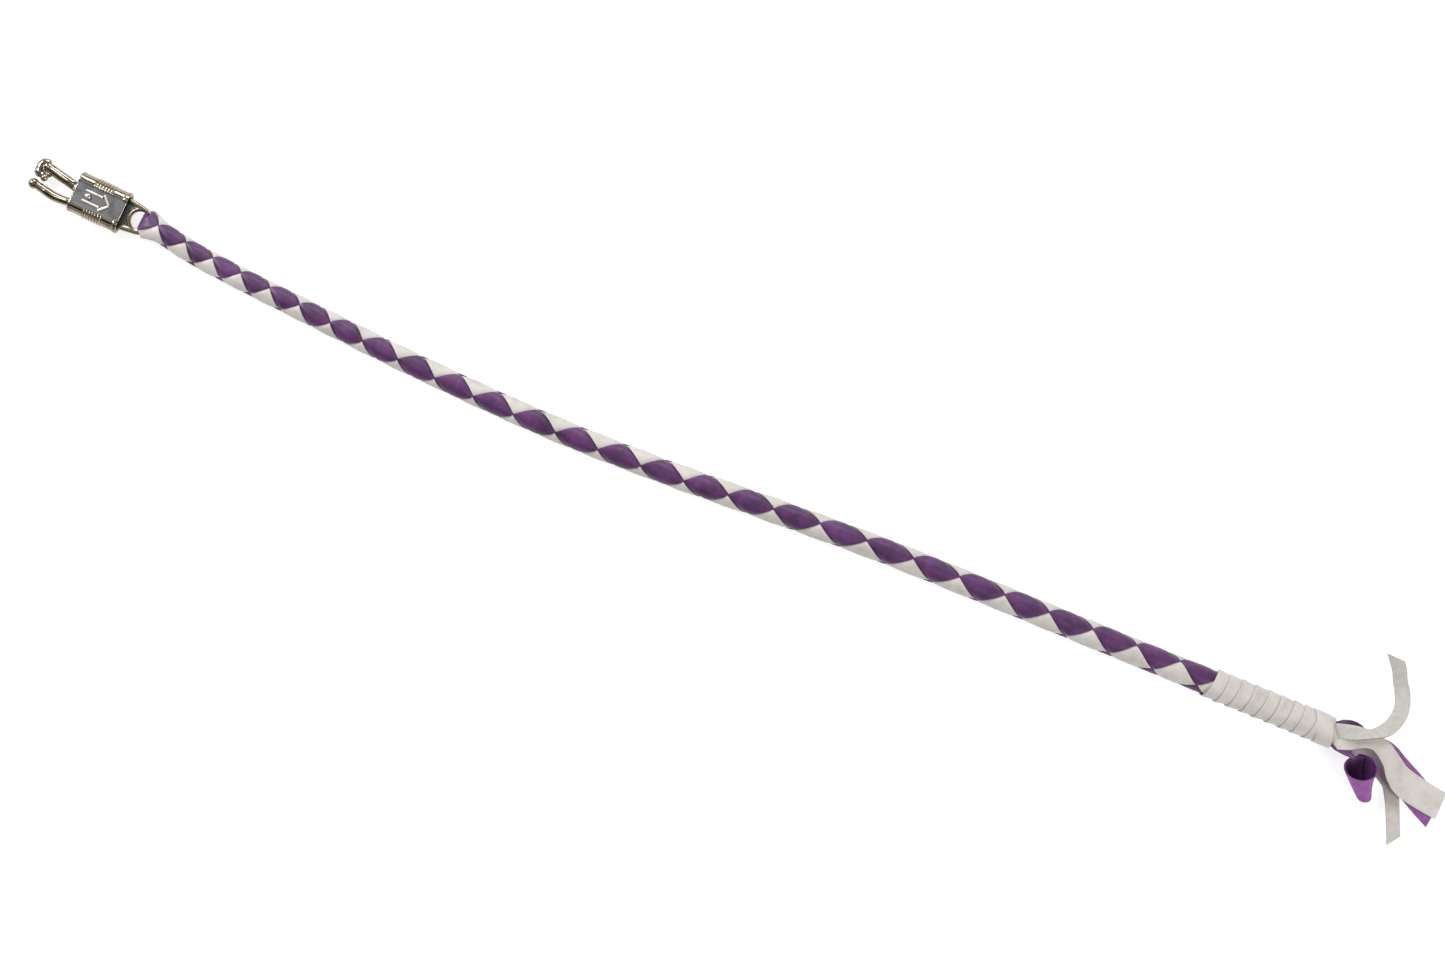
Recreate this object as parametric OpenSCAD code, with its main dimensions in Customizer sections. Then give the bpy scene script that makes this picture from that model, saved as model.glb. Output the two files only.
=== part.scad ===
// Braided leather whip with a quick-release snap, lying flat.
// X runs from the snap's jaws to the tassel, Z is up, and the part rests on z = 0.
// Lengths along the whip are first measured from the jaw tip, on the snap's own axis,
// and placed() then moves every piece to the origin below the middle of the whole part.

/* [Snap frame] */
// Height of the snap's middle plane above the surface that it lies on
snap_z = 7; // [7:0.1:8]
// Radius of the bore that the laces pass through
eye_r = 6.5; // [6.3:0.1:6.6]
// Distance of the lace eye from the jaw tip
eye_x = 81.5; // [81:0.1:82]
// Thickness of the web between the edge rails
web_t = 2.4; // [2:0.1:3]
// Radius of the rounded rails along the plate's edges
rail_r = 2; // [1.6:0.1:2.1]

/* [Jaws] */
// Distance of the jaw's pivot from the jaw tip
pivot_x = 35.5; // [35:0.1:35.8]
// Height of the pivot to the side of the snap's axis
pivot_y = 1.5; // [1:0.1:2]
// Radius of the pivot pin
pin_r = 1.5; // [1.2:0.1:1.6]
// Radius of the round arms of both jaws
arm_r = 3.2; // [3:0.1:3.3]

/* [Sleeve] */
// Where the sleeve starts, from the jaw tip
sleeve_x = 32.7; // [32.5:0.1:33]
// Length of the sleeve
sleeve_l = 36.8; // [36:0.1:37]
// Half of the sleeve's thickness, also the radius of its flanks
sleeve_hz = 7; // [6.9:0.05:7]
// Distance of each flank's centre line from the snap's axis
flank_y = 7.6; // [7.4:0.1:7.8]
// Half of the height of the passage inside the sleeve
bore_hz = 4.6; // [4.5:0.1:4.8]
// Number of grip ribs on each flank
grip_ribs = 7; // [4:1:8]
// How far the sleeve slides back
sleeve_travel = 10; // [8:0.5:10]

/* [Laces] */
// Thickness of a leather lace
lace_t = 1.2; // [1:0.05:1.25]
// Half of a braided strand's width, as a share of its cell in the braid
strand_share = 0.43; // [0.38:0.01:0.43]
// Half of the width of a full lace in the tassel
lace_hw = 9.5; // [8:0.1:9.5]
// Radius of the cord inside the braid
core_r = 3.5; // [3:0.1:3.6]

/* [Wrap] */
// Number of turns of the wrapping lace
wrap_turns = 9; // [9:1:9]
// Distance between the turns
wrap_pitch = 9.2; // [9:0.05:9.3]
// Outer radius of the wrap
wrap_r = 10.4; // [10.3:0.05:10.5]

/* [Hidden] */
$fn = 48;
// The origin lies below the middle of the whole part
origin_x = 535;
origin_y = 35;
// Spine inside the sleeve, and the slot that holds the spring and the rivet
spine_x0 = 40;
spine_x1 = 67;
spine_hy = 11.7;
spine_hz = 4.2;
slot_x0 = 41.5;
slot_hy = 2.7;
body_hy = 8.5;
// Half length of a cutter that goes right through the snap
through = 9;
// Edge rails of the plate: distance from the axis where they start and where they end
rail_y0 = 9.9;
rail_y1 = 8.1;
plate_x1 = 82;
// Pivot ears and the jaw's boss between them
ear_r = 4.5;
ear_z0 = 2.4;
boss_r = 4.1;
boss_hz = 2.2;
// Round knobs at the jaw tips
knob_r = 3.9;
// Rivet and spring
rivet_x = 43.5;
rivet_r = 1.6;
spring_r = 2.2;
spring_wire = 0.35;
spring_turns = 8;
// Room for the spring when the sleeve is right back, which sets the slot's length
spring_packed = 8.9;
slot_x1 = rivet_x + rivet_r + sleeve_travel + spring_packed;
// Braid
first_turn = 0.25;
last_turn = 26.25;
// Radius and half width, in degrees, of the strands that leave the eye and enter the wrap
neck_r = 5.4;
neck_spread = 29;
leg_spread = 38;
// Places of the rings within a cell, so that a strand is level where it crosses another
ring_steps = [0.11, 0.37, 0.63, 0.89];
sides = [-1, 0, 1];
// The whip's middle line, seen from above, as chosen points
route = [[82, 0], [90, 0], [130, -5], [210, -8], [300, -10], [400, -9], [480, -4], [560, 3.5],
    [640, 10.5], [730, 15.5], [830, 20.5], [930, 25.5], [985, 28]];
// Places of the crossings on top: short diamonds at the snap, long ones further on
crossing_at = [[0, 95.5], [4, 183.5], [7, 257], [10, 342], [13, 435], [17, 562], [22, 731],
    [27, 892]];
// Outer radius of the braid, height of its middle and its slow twist, along X
radius_at = [[93, 7.6], [393, 8.4], [693, 8.7], [893, 9.3]];
height_at = [[85, 7], [93, 7.4], [106, 7.7], [393, 8.4], [693, 8.7], [840, 9.3], [886, 10.4]];
twist_at = [[98, 0], [109, 40], [183, 30], [253, -5], [323, -22], [493, -15], [593, 18],
    [713, 20], [793, 27], [883, 50]];

function slope(i) =
    let (a = route[max(i - 1, 0)], b = route[min(i + 1, len(route) - 1)])
    (b[1] - a[1]) / (b[0] - a[0]);
function span_of(x, i = 0) =
    i >= len(route) - 2 || x < route[i + 1][0] ? i : span_of(x, i + 1);
function route_y(x) =
    let (
        i = span_of(x),
        w = route[i + 1][0] - route[i][0],
        u = (x - route[i][0]) / w
    )
    (2 * u ^ 3 - 3 * u ^ 2 + 1) * route[i][1] + (u ^ 3 - 2 * u ^ 2 + u) * w * slope(i)
    + (3 * u ^ 2 - 2 * u ^ 3) * route[i + 1][1] + (u ^ 3 - u ^ 2) * w * slope(i + 1);
function middle(x) = [x, route_y(x), lookup(x, height_at)];
function sideways(x) =
    let (d = route_y(x + 1) - route_y(x - 1))
    [-d, 2, 0] / norm([d, 2]);

// A point at angle t from straight up towards +Y, at radius r from the middle line
function around(x, t, r) = middle(x) + r * (cos(t) * [0, 0, 1] + sin(t) * sideways(x));

// Where the braid's turn n lies, counted from the first crossing on top
function braid_at(n) = lookup(n + 0.5, crossing_at);
function mid_r(x) = lookup(x, radius_at) - 1.5 * lace_t;
function weave(c) = max(-1, min(1, 3 * cos(180 * c)));

// One ring across a strand in cell coordinates a and b, which count half turns each way
function strand_point(a, b, dr) =
    let (x = braid_at((b - a) / 2))
    around(x, lookup(x, twist_at) + 90 * (a + b), mid_r(x) + dr);
function strand_ring(k, c, sign, flip) =
    let (lift = (k % 2 == 0 ? 1 : -1) * sign * lace_t * weave(c))
    [for (j = sides) strand_cell(k, c, j * flip, sign, lift + lace_t / 2),
     for (j = sides) strand_cell(k, c, -j * flip, sign, lift - lace_t / 2)];
function strand_cell(k, c, j, sign, dr) = sign > 0
    ? strand_point(k + j * strand_share, c, dr)
    : strand_point(c, k + j * strand_share, dr);

// One ring across a lace that lies round the middle line without crossing another
function leg_ring(x, t, r, spread, flip) =
    [for (j = sides) around(x, t + j * flip * spread, r + lace_t / 2),
     for (j = sides) around(x, t - j * flip * spread, r - lace_t / 2)];

function leg_turn(x, t) = lookup(x, twist_at) + t;

// One ring across a flat lace at c, turned by v about its heading from face up
function flat_ring(c, heading, v, hw, flip) =
    let (
        h = heading / norm(heading),
        side = cross([0, 0, 1], h) / norm(cross([0, 0, 1], h)),
        up = cross(h, side),
        w = cos(v) * side - sin(v) * up,
        n = cos(v) * up + sin(v) * side
    )
    [for (j = sides) c + j * flip * hw * w + n * lace_t / 2,
     for (j = sides) c - j * flip * hw * w - n * lace_t / 2];

// Rings along a tail, whose knots are [x, y, z, turn, half width]
function tail_rings(knots, flip) =
    [for (i = [0 : len(knots) - 1])
        let (
            p = knots[i],
            before = knots[max(i - 1, 0)],
            after = knots[min(i + 1, len(knots) - 1)],
            heading = [after[0] - before[0], after[1] - before[1], after[2] - before[2]]
        )
        flat_ring([p[0], p[1], p[2]], heading, p[3], p[4], flip)];

// The fold through the eye: top leg, dive through the bore, bottom leg
fold_steps = 8;
fold_y = 3.6;
fold_z = 3.6;
fold_hw = 2.2;
function fold_rings(side, back, reach) =
    [for (i = [0 : fold_steps])
        let (
            u = 180 * i / fold_steps,
            c = [back - reach * sin(u), side * fold_y * cos(u), snap_z + fold_z * cos(u)],
            n = [-sin(u), 0, cos(u)],
            hw = fold_hw
        )
        [for (j = sides) c + j * hw * [0, 1, 0] + n * lace_t / 2,
         for (j = sides) c - j * hw * [0, 1, 0] - n * lace_t / 2]];

// Whole lace: tail, strand, fold through the eye, strand, tail
function lace_rings(sign, side, back, reach, tail_a, tail_b) =
    let (
        cells = (last_turn - first_turn) * 2,
        // Places of the rings where the strands lie under the wrap
        tail_legs = [894, 912, 932, 955, 975],
        neck = [96, 100],
        up = side * 45,
        first = sign * 2 * first_turn,
        top = [for (q = [0 : cells - 1], f = ring_steps)
            strand_ring(0, first + sign * (q + f), sign, 1)],
        low = [for (q = [0 : cells - 1], f = ring_steps)
            strand_ring(1, 1 + first + sign * (q + f), sign, -1)],
        // Angle of the strands where the braid ends
        end_top = sign * 180 * last_turn,
        end_low = 180 + sign * 180 * last_turn
    )
    concat(
        reverse(tail_a),
        reverse([for (x = tail_legs) leg_ring(x, leg_turn(x, end_top), mid_r(x), leg_spread, 1)]),
        reverse(top),
        [for (x = reverse(neck)) leg_ring(x, up, neck_r, neck_spread, 1)],
        fold_rings(side, back, reach),
        [for (x = neck) leg_ring(x, 180 + up, neck_r, neck_spread, -1)],
        low,
        [for (x = tail_legs) leg_ring(x, leg_turn(x, end_low), mid_r(x), leg_spread, -1)],
        tail_b
    );

function reverse(list) = [for (i = [len(list) - 1 : -1 : 0]) list[i]];

// Tassel tails as chosen points: [x, y, z, turn, half width]
white_top_tail = [[981, 27.5, 18.3, 0, 5.5], [989, 26.8, 18.9, 0, 7.5], [998, 28, 19.2, 0, 9],
    [1007, 29, 19.4, 0, lace_hw], [1018, 27.5, 17, 0, lace_hw], [1028, 20.5, 12.5, 0, lace_hw],
    [1039, 15.5, 9, 0, lace_hw], [1051, 14.6, 7.2, 0, lace_hw], [1066, 13.5, 6.8, 0, lace_hw]];
white_low_tail = [[981, 25, 2.4, 180, 5], [989, 22.5, 1.3, 180, 5.5], [997, 20, 0.8, 180, 6],
    [1012, 15, 0.8, 180, 6], [1022.5, 10.5, 0.8, 180, 6], [1030, 4, 0.8, 180, 6],
    [1036, -2, 0.8, 180, 6], [1041, -11, 0.8, 180, 6], [1043, -19, 0.8, 180, 6],
    [1044, -26, 0.8, 180, 6]];
purple_tail = [[981, 34, 9.8, 115, 5], [989, 34, 8.6, 145, 6.5], [998, 34.5, 7.2, 165, 8.5],
    [1010, 32.5, 6.2, 180, lace_hw], [1027, 23.6, 5.2, 180, lace_hw],
    [1046.5, 16.3, 3.6, 180, lace_hw], [1066, 6, 2.8, 180, lace_hw]];

// The curled purple tail: a ring of radius curl_r round a tilted axis, begun by a short lead
curl_c = [1006, 7.2, 14.2];
curl_r = 9.5;
curl_hw = 8;
curl_axis = [-0.31, 0.57, 0.76];
curl_e1 = [0.88, 0.48, 0];
curl_e2 = cross(curl_axis, curl_e1);
function curl_ring(phi) =
    let (
        n = (cos(phi) * curl_e1 + sin(phi) * curl_e2),
        c = curl_c + curl_r * n
    )
    [for (j = sides) c - j * curl_hw * curl_axis - n * lace_t / 2,
     for (j = sides) c + j * curl_hw * curl_axis + n * lace_t / 2];
curl_lead = [[981, 18.6, 10.6, 265, 5], [988, 16.6, 9.6, 255, 6]];
function curl_rings() =
    concat(
        tail_rings(curl_lead, -1),
        [for (phi = [105 : -20 : -195]) curl_ring(phi)]
    );

// The wrapping lace's free end, in the same form as the tails
wrap_end = [[980, 31.5, 22.2, 0, 4.6], [986, 34.5, 22.8, 0, 5.5], [993, 37, 22.8, 0, 6],
    [1001, 39.5, 22.6, 0, 6], [1008, 44, 20.5, 0, 6], [1012, 51, 15, 0, 6], [1013.5, 59, 9, 0, 6],
    [1013, 68, 4.5, 0, 6], [1010, 76, 2.6, 0, 6], [1006, 82, 2.6, 0, 6], [1001, 88, 5.5, 0, 6],
    [996, 92, 10.5, 0, 6]];
// Middle of the wrap's first turn, the angle where it starts, and its rings in each turn
wrap_start = 889.8;
wrap_phase = 20;
wrap_steps = 16;
wrap_gap = 0.4;
wrap_hw = (wrap_pitch - wrap_gap) / 2;
function wrap_ring(i) =
    let (
        t = wrap_phase + 360 * i / wrap_steps,
        x = wrap_start + wrap_pitch * i / wrap_steps,
        r0 = wrap_r - lace_t
    )
    [around(x - wrap_hw, t, wrap_r), around(x, t, wrap_r), around(x + wrap_hw, t, wrap_r),
     around(x + wrap_hw, t, r0), around(x, t, r0), around(x - wrap_hw, t, r0)];

// Solid through rings of equal point counts, with its ends closed. Each four-sided patch is
// split along the diagonal that lean picks, the same way on the outer and the inner face.
module sweep(rings, lean = true) {
    m = len(rings[0]);
    last = len(rings) - 1;
    function at(i, j) = i * m + j % m;
    function patch(i, j) = (j < m / 2) == lean
        ? [[at(i + 1, j + 1), at(i, j + 1), at(i, j)], [at(i + 1, j), at(i + 1, j + 1), at(i, j)]]
        : [[at(i + 1, j), at(i, j + 1), at(i, j)], [at(i + 1, j), at(i + 1, j + 1), at(i, j + 1)]];
    polyhedron(
        points = [for (ring = rings) each ring],
        faces = concat(
            [[for (j = [0 : m - 1]) j]],
            [for (i = [0 : last - 1], j = [0 : m - 1]) each patch(i, j)],
            [[for (j = [m - 1 : -1 : 0]) last * m + j]]
        )
    );
}

module placed() {
    translate([-origin_x, -origin_y, 0]) children();
}

module on_snap() {
    placed() translate([0, 0, snap_z]) children();
}

// Straight round bar between two points in the snap's middle plane
module bar(a, b, r) {
    d = b - a;
    translate([a[0], a[1], 0]) rotate([0, 0, atan2(d[1], d[0])]) rotate([0, 90, 0])
        cylinder(h = norm(d), r = r);
}

module block(x0, x1, y0, y1, z0, z1) {
    translate([x0, y0, z0]) cube([x1 - x0, y1 - y0, z1 - z0]);
}

// Fixed lower jaw: a bowed arm with a round knob at its tip
module lower_jaw() {
    outer = [[42, -10.7], [32.2, -10.7], [31.4, -12.2], [27, -12.7], [20, -13], [14, -12.4],
        [9, -11.2], [4, -11.2]];
    inner = [[2, -3.8], [6.6, -3.3], [9.5, -3.6], [12.5, -4.6], [17, -6], [22.5, -6.4], [28, -6.2],
        [33, -5.6], [42, -5.4]];
    knob = [4.2, -7.4];
    translate([0, 0, -arm_r]) linear_extrude(2 * arm_r) polygon(concat(
        outer,
        [for (t = [240 : -20 : 130]) knob + knob_r * [cos(t), sin(t)]],
        inner));
}

module rails() {
    for (s = [-1, 1]) bar([spine_x1 - 1, s * rail_y0], [plate_x1 + 0.2, s * rail_y1], rail_r);
}

module plate() {
    translate([0, 0, -web_t / 2]) linear_extrude(web_t)
        polygon([for (s = [-1, 1], end = [0, 1])
            (end == 0) == (s < 0) ? [spine_x1 - 1, s * (rail_y0 + 0.7)]
                : [plate_x1, s * (rail_y1 + 0.5)]]);
}

module snap_frame() {
    ring_hz = 1.6;
    ring_w = 3;
    color("silver") on_snap() {
        difference() {
            union() {
                block(spine_x0, spine_x1, -spine_hy, spine_hy, -ear_z0, ear_z0);
                block(spine_x0, spine_x1, -body_hy, body_hy, -spine_hz, spine_hz);
                for (s = [-1, 1]) {
                    translate([pivot_x, pivot_y, s > 0 ? ear_z0 : -spine_hz])
                        cylinder(h = spine_hz - ear_z0, r = ear_r);
                    block(pivot_x, spine_x0 + 1, pivot_y - ear_r, pivot_y + ear_r,
                        s > 0 ? ear_z0 : -spine_hz, s > 0 ? spine_hz : -ear_z0);
                }
            }
            block(slot_x0, slot_x1, -slot_hy, slot_hy, -through, through);
            translate([pivot_x, pivot_y, -through]) cylinder(h = 2 * through, r = pin_r);
        }
        lower_jaw();
        difference() {
            union() {
                plate();
                rails();
                translate([eye_x, 0, -ring_hz]) cylinder(h = 2 * ring_hz, r = eye_r + ring_w);
            }
            translate([eye_x, 0, -through]) cylinder(h = 2 * through, r = eye_r);
        }
    }
}

// Upper jaw: boss on the pin, straight arm, and a head that hooks over the lower jaw's tip
module swing_jaw() {
    head = [4.4, 2];
    arm = [[30, -1.2], [22, 0.3], [18, 1.2], [13, 2.6], [11, 0.6], [8.6, -0.4]];
    back = [[2.2, 9.2], [3.2, 11.6], [6.5, 12.6], [9.5, 11], [12, 9.5], [20, 8.4], [30, 7.1]];
    color("silver") on_snap() difference() {
        union() {
            translate([0, 0, -arm_r]) linear_extrude(2 * arm_r) polygon(concat(
                arm,
                [for (t = [300 : -20 : 140]) head + knob_r * [cos(t), sin(t)]],
                back));
            translate([0, 0, -boss_hz]) linear_extrude(2 * boss_hz)
                polygon([[29, -1], [35.5, -2.4], [35.5, 5.4], [29, 7]]);
            translate([pivot_x, pivot_y, -boss_hz]) cylinder(h = 2 * boss_hz, r = boss_r);
        }
        translate([pivot_x, pivot_y, -through])
            cylinder(h = 2 * through, r = pin_r + 0.05);
    }
}

module jaw_pivot_pin() {
    color("gray") on_snap() translate([pivot_x, pivot_y, -spine_hz])
        cylinder(h = 2 * spine_hz, r = pin_r);
}

module obround(hz, hy) {
    union() {
        square([2 * hz, 2 * hy], center = true);
        for (s = [-1, 1]) translate([0, s * hy]) circle(r = hz);
    }
}

// The sleeve's section lies across X
module along_x(x, l) {
    translate([x, 0, 0]) rotate([0, 90, 0]) linear_extrude(l) children();
}

// Raised arrow on the sleeve's face: two bars and an open head that points to the rear
module arrow() {
    top = sleeve_hz - 0.2;
    bar_w = 1.4;
    bar_h = 0.6;
    bar_y = 3.6;
    tip_x = 59;
    for (s = [-1, 1]) {
        translate([40, s * bar_y - bar_w / 2, top]) cube([12.5, bar_w, bar_h]);
        translate([tip_x, 0, top]) rotate([0, 0, s * 40])
            translate([-9, -bar_w / 2, 0]) cube([9.5, bar_w, bar_h]);
    }
}

module release_sleeve() {
    rib_r = 0.45;
    rib_pitch = 2.1;
    rib_arc = 116;
    rib_x = sleeve_x + sleeve_l / 2 - rib_pitch * (grip_ribs - 1) / 2;
    color("silver") on_snap() difference() {
        union() {
            along_x(sleeve_x, sleeve_l) obround(sleeve_hz, flank_y);
            for (i = [0 : grip_ribs - 1], s = [0, 1]) mirror([0, s, 0])
                translate([rib_x + rib_pitch * i, flank_y, 0]) rotate([0, 90, 0])
                    rotate([0, 0, 90 - rib_arc / 2]) rotate_extrude(angle = rib_arc)
                        translate([sleeve_hz, 0])
                        circle(r = rib_r, $fn = 16);
            arrow();
        }
        along_x(sleeve_x - 1, sleeve_l + 2) obround(bore_hz, flank_y + 0.2);
        translate([rivet_x, 0, -through]) cylinder(h = 2 * through, r = rivet_r + 0.02);
    }
}

module sleeve_rivet() {
    dome_r = 2.3;
    color("gainsboro") on_snap() translate([rivet_x, 0, 0]) {
        translate([0, 0, -sleeve_hz + 0.3]) cylinder(h = 2 * sleeve_hz - 0.1, r = rivet_r);
        intersection() {
            translate([0, 0, sleeve_hz + 0.02]) cylinder(h = 3, r = dome_r);
            translate([0, 0, sleeve_hz - 0.8]) sphere(r = 2.4);
        }
    }
}

module sleeve_spring() {
    x0 = rivet_x + rivet_r + spring_wire + 0.1;
    x1 = slot_x1 - spring_wire - 0.1;
    steps = spring_turns * 12;
    color("dimgray") on_snap() sweep([for (i = [0 : steps])
        [for (j = [0 : 5])
            let (
                t = 30 * i,
                r = spring_r + spring_wire * cos(60 * j),
                x = x0 + (x1 - x0) * i / steps - spring_wire * sin(60 * j)
            )
            [x, r * cos(t), r * sin(t)]]]);
}

module core_rope() {
    ends = [104, 968];
    steps = 60;
    color("tan") placed() sweep([for (i = [0 : steps])
        let (x = ends[0] + (ends[1] - ends[0]) * i / steps)
        [for (j = [0 : 9]) around(x, 36 * j, core_r)]]);
}

module purple_lace() {
    color("indigo") placed() sweep(
        lace_rings(1, 1, 88.6, 3, tail_rings(purple_tail, 1), curl_rings()));
}

module white_lace() {
    color("whitesmoke") placed() sweep(
        lace_rings(-1, -1, 88.2, 5.4, tail_rings(white_top_tail, 1),
            tail_rings(white_low_tail, -1)), false);
}

// Tight turns of thread round the strands, as one ribbed sleeve
module binding_thread() {
    x = 925;
    turns = 10;
    pitch = 1.2;
    r = mid_r(x) + lace_t / 2 + 0.15;
    color("ivory") placed() translate(middle(x)) rotate([0, 0, atan2(
        route_y(x + 1) - route_y(x - 1), 2)]) rotate([0, 90, 0]) rotate_extrude($fn = 64) union() {
        translate([r, 0]) square([0.35, pitch * turns]);
        for (i = [0 : turns - 1]) translate([r + 0.35, pitch * (i + 0.5)])
            circle(r = 0.3, $fn = 16);
    }
}

module wrap_lace() {
    color("whitesmoke") placed() sweep(concat(
        [for (i = [0 : wrap_turns * wrap_steps]) wrap_ring(i)],
        tail_rings(wrap_end, 1)));
}

snap_frame();
swing_jaw();
jaw_pivot_pin();
release_sleeve();
sleeve_rivet();
sleeve_spring();
core_rope();
purple_lace();
white_lace();
binding_thread();
wrap_lace();
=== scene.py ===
"""Looks of the braided whip with a quick-release snap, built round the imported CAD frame."""
from math import cos, pi, radians, sin, sqrt

import bmesh
import bpy
from mathutils import Matrix, Vector, noise


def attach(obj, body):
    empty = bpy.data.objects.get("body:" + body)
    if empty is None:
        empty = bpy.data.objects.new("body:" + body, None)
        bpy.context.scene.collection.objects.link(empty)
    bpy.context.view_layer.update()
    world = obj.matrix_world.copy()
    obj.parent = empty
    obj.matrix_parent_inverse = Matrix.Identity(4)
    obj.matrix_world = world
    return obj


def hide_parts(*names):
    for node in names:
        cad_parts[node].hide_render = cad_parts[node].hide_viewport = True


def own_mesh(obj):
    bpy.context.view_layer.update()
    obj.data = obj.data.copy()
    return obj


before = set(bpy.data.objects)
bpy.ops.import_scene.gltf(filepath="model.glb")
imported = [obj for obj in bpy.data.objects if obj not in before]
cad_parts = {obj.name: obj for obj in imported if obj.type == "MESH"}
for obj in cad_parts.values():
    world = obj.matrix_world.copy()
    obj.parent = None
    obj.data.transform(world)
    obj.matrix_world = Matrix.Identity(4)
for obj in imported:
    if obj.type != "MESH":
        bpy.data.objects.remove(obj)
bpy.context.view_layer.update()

MM = 0.001
# The part's origin, as a place on the whip's own scale, which starts at the jaw tip (mm)
ORIGIN = Vector((535, 35, 0))
UP = Vector((0, 0, 1))

# ---------------------------------------------------------------- dimensions, in mm
# Height of the snap's middle plane, and the lace eye's place and radius
SNAP_Z = 7.0
EYE_X, EYE_R = 81.5, 6.5
PIVOT = Vector((35.5, 1.5, 0))
SLEEVE_X0, SLEEVE_X1 = 32.7, 69.5
# Half the height of the sleeve's section, and half the width of its flat faces; then its bore's
SLEEVE_HZ, SLEEVE_HY = 7.0, 7.6
BORE_HZ, BORE_HY = 4.6, 7.8
RIVET_X = 43.5
# Thickness of every lace
LACE_T = 1.2
# The wrap's start, number of turns and their spacing, and the radius that it lies on
WRAP_X0, WRAP_TURNS, WRAP_PITCH = 881.6, 9.75, 9.4
WRAP_R = 9.3
FLOOR_SIZE = 6.0

# The whip's middle line from above, the braid's radius, its middle's height and its slow twist
ROUTE = ((82, 0), (90, 0), (130, -5), (210, -8), (300, -10), (400, -9), (480, -4), (560, 3.5),
         (640, 10.5), (730, 15.5), (830, 20.5), (930, 25.5), (985, 28))
# Places of the braid's crossings on top, by their number from the snap
CROSSINGS = ((0, 95.5), (4, 183.5), (7, 257), (10, 342), (13, 435), (17, 562), (22, 731), (28, 924))
RADIUS = ((93, 7.6), (393, 8.4), (693, 8.7), (893, 9.3))
HEIGHT = ((85, 7), (93, 7.4), (106, 7.7), (393, 8.4), (693, 8.7), (840, 9.3), (886, 10.4))
TWIST = ((93, 26), (116, 36), (183, 30), (253, -5), (323, -22), (493, -15), (593, 18), (713, 20),
         (793, 27), (883, 55), (890, 55), (970, -40))


# ---------------------------------------------------------------- small helpers

def clamp(v, low, high):
    return max(low, min(high, v))


def smooth(v, low, high):
    """0 below low, 1 above high, and a smooth step between."""
    u = clamp((v - low) / (high - low), 0, 1)
    return u * u * (3 - 2 * u)


def lookup(x, table):
    """Straight-line reading of a table of (place, value) pairs."""
    if x <= table[0][0]:
        return table[0][1]
    for (x0, v0), (x1, v1) in zip(table, table[1:]):
        if x <= x1:
            return v0 + (v1 - v0) * (x - x0) / (x1 - x0)
    return table[-1][1]


def curve(x, table):
    """Smooth reading of a table of (place, value) pairs."""
    last = len(table) - 1
    i = 0
    while i < last - 1 and x >= table[i + 1][0]:
        i += 1

    def slope(j):
        a, b = table[max(j - 1, 0)], table[min(j + 1, last)]
        return (b[1] - a[1]) / (b[0] - a[0])

    w = table[i + 1][0] - table[i][0]
    u = (x - table[i][0]) / w
    return ((2 * u**3 - 3 * u**2 + 1) * table[i][1] + (u**3 - 2 * u**2 + u) * w * slope(i)
            + (3 * u**2 - 2 * u**3) * table[i + 1][1] + (u**3 - u**2) * w * slope(i + 1))


def middle(x):
    """The braid's middle line at x."""
    return Vector((x, curve(x, ROUTE), lookup(x, HEIGHT)))


def around(x, turn, r):
    """The point at radius r and angle turn, in degrees from straight up towards +Y."""
    side = Vector((curve(x - 1, ROUTE) - curve(x + 1, ROUTE), 2, 0)).normalized()
    t = radians(turn)
    # Over the end of the snap's plate the braid is wide and low
    flat = 1 - smooth(x, 84, 99)
    return middle(x) + r * (cos(t) * (1 - 0.35 * flat) * UP + sin(t) * (1 + 0.5 * flat) * side)


def spline(knots, step=1.0):
    """Catmull-Rom points through knots, about step apart along the first three numbers."""
    knots = [Vector(k) for k in knots]
    ends = [2 * knots[0] - knots[1]] + knots + [2 * knots[-1] - knots[-2]]
    out = []
    for p0, p1, p2, p3 in zip(ends, ends[1:], ends[2:], ends[3:]):
        n = max(2, round((Vector(p2[:3]) - Vector(p1[:3])).length / step))
        for i in range(n):
            u = i / n
            out.append(0.5 * (2 * p1 + (p2 - p0) * u + (2 * p0 - 5 * p1 + 4 * p2 - p3) * u**2
                              + (3 * p1 - 3 * p2 + p3 - p0) * u**3))
    return out + [knots[-1]]


def circle(n):
    """The (cos, sin) pairs of n even places round a circle."""
    return [(cos(2 * pi * j / n), sin(2 * pi * j / n)) for j in range(n)]


def tube_faces(rings, sides):
    """Faces of a tube of rings with as many points each, closed at both ends."""
    faces = []
    for i in range(rings - 1):
        for j in range(sides):
            a, b = i * sides + j, i * sides + (j + 1) % sides
            faces.append((a, b, b + sides, a + sides))
    faces.append(tuple(range(sides))[::-1])
    faces.append(tuple((rings - 1) * sides + j for j in range(sides)))
    return faces


def hoop_faces(rings, sides):
    """Faces of rings whose last one joins the first, as on a doughnut."""
    faces = []
    for i in range(rings):
        row, after = i * sides, (i + 1) % rings * sides
        for j in range(sides):
            k = (j + 1) % sides
            faces.append((row + j, row + k, after + k, after + j))
    return faces


def joined(shapes):
    """One list of points and one of faces from several (points, faces) shapes."""
    points, faces = [], []
    for shape_points, shape_faces in shapes:
        base = len(points)
        points += shape_points
        faces += [tuple(base + i for i in f) for f in shape_faces]
    return points, faces


def stand_in(piece, node, body):
    """Puts a finished piece in the place of a CAD node."""
    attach(piece, body)
    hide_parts(node)


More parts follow.
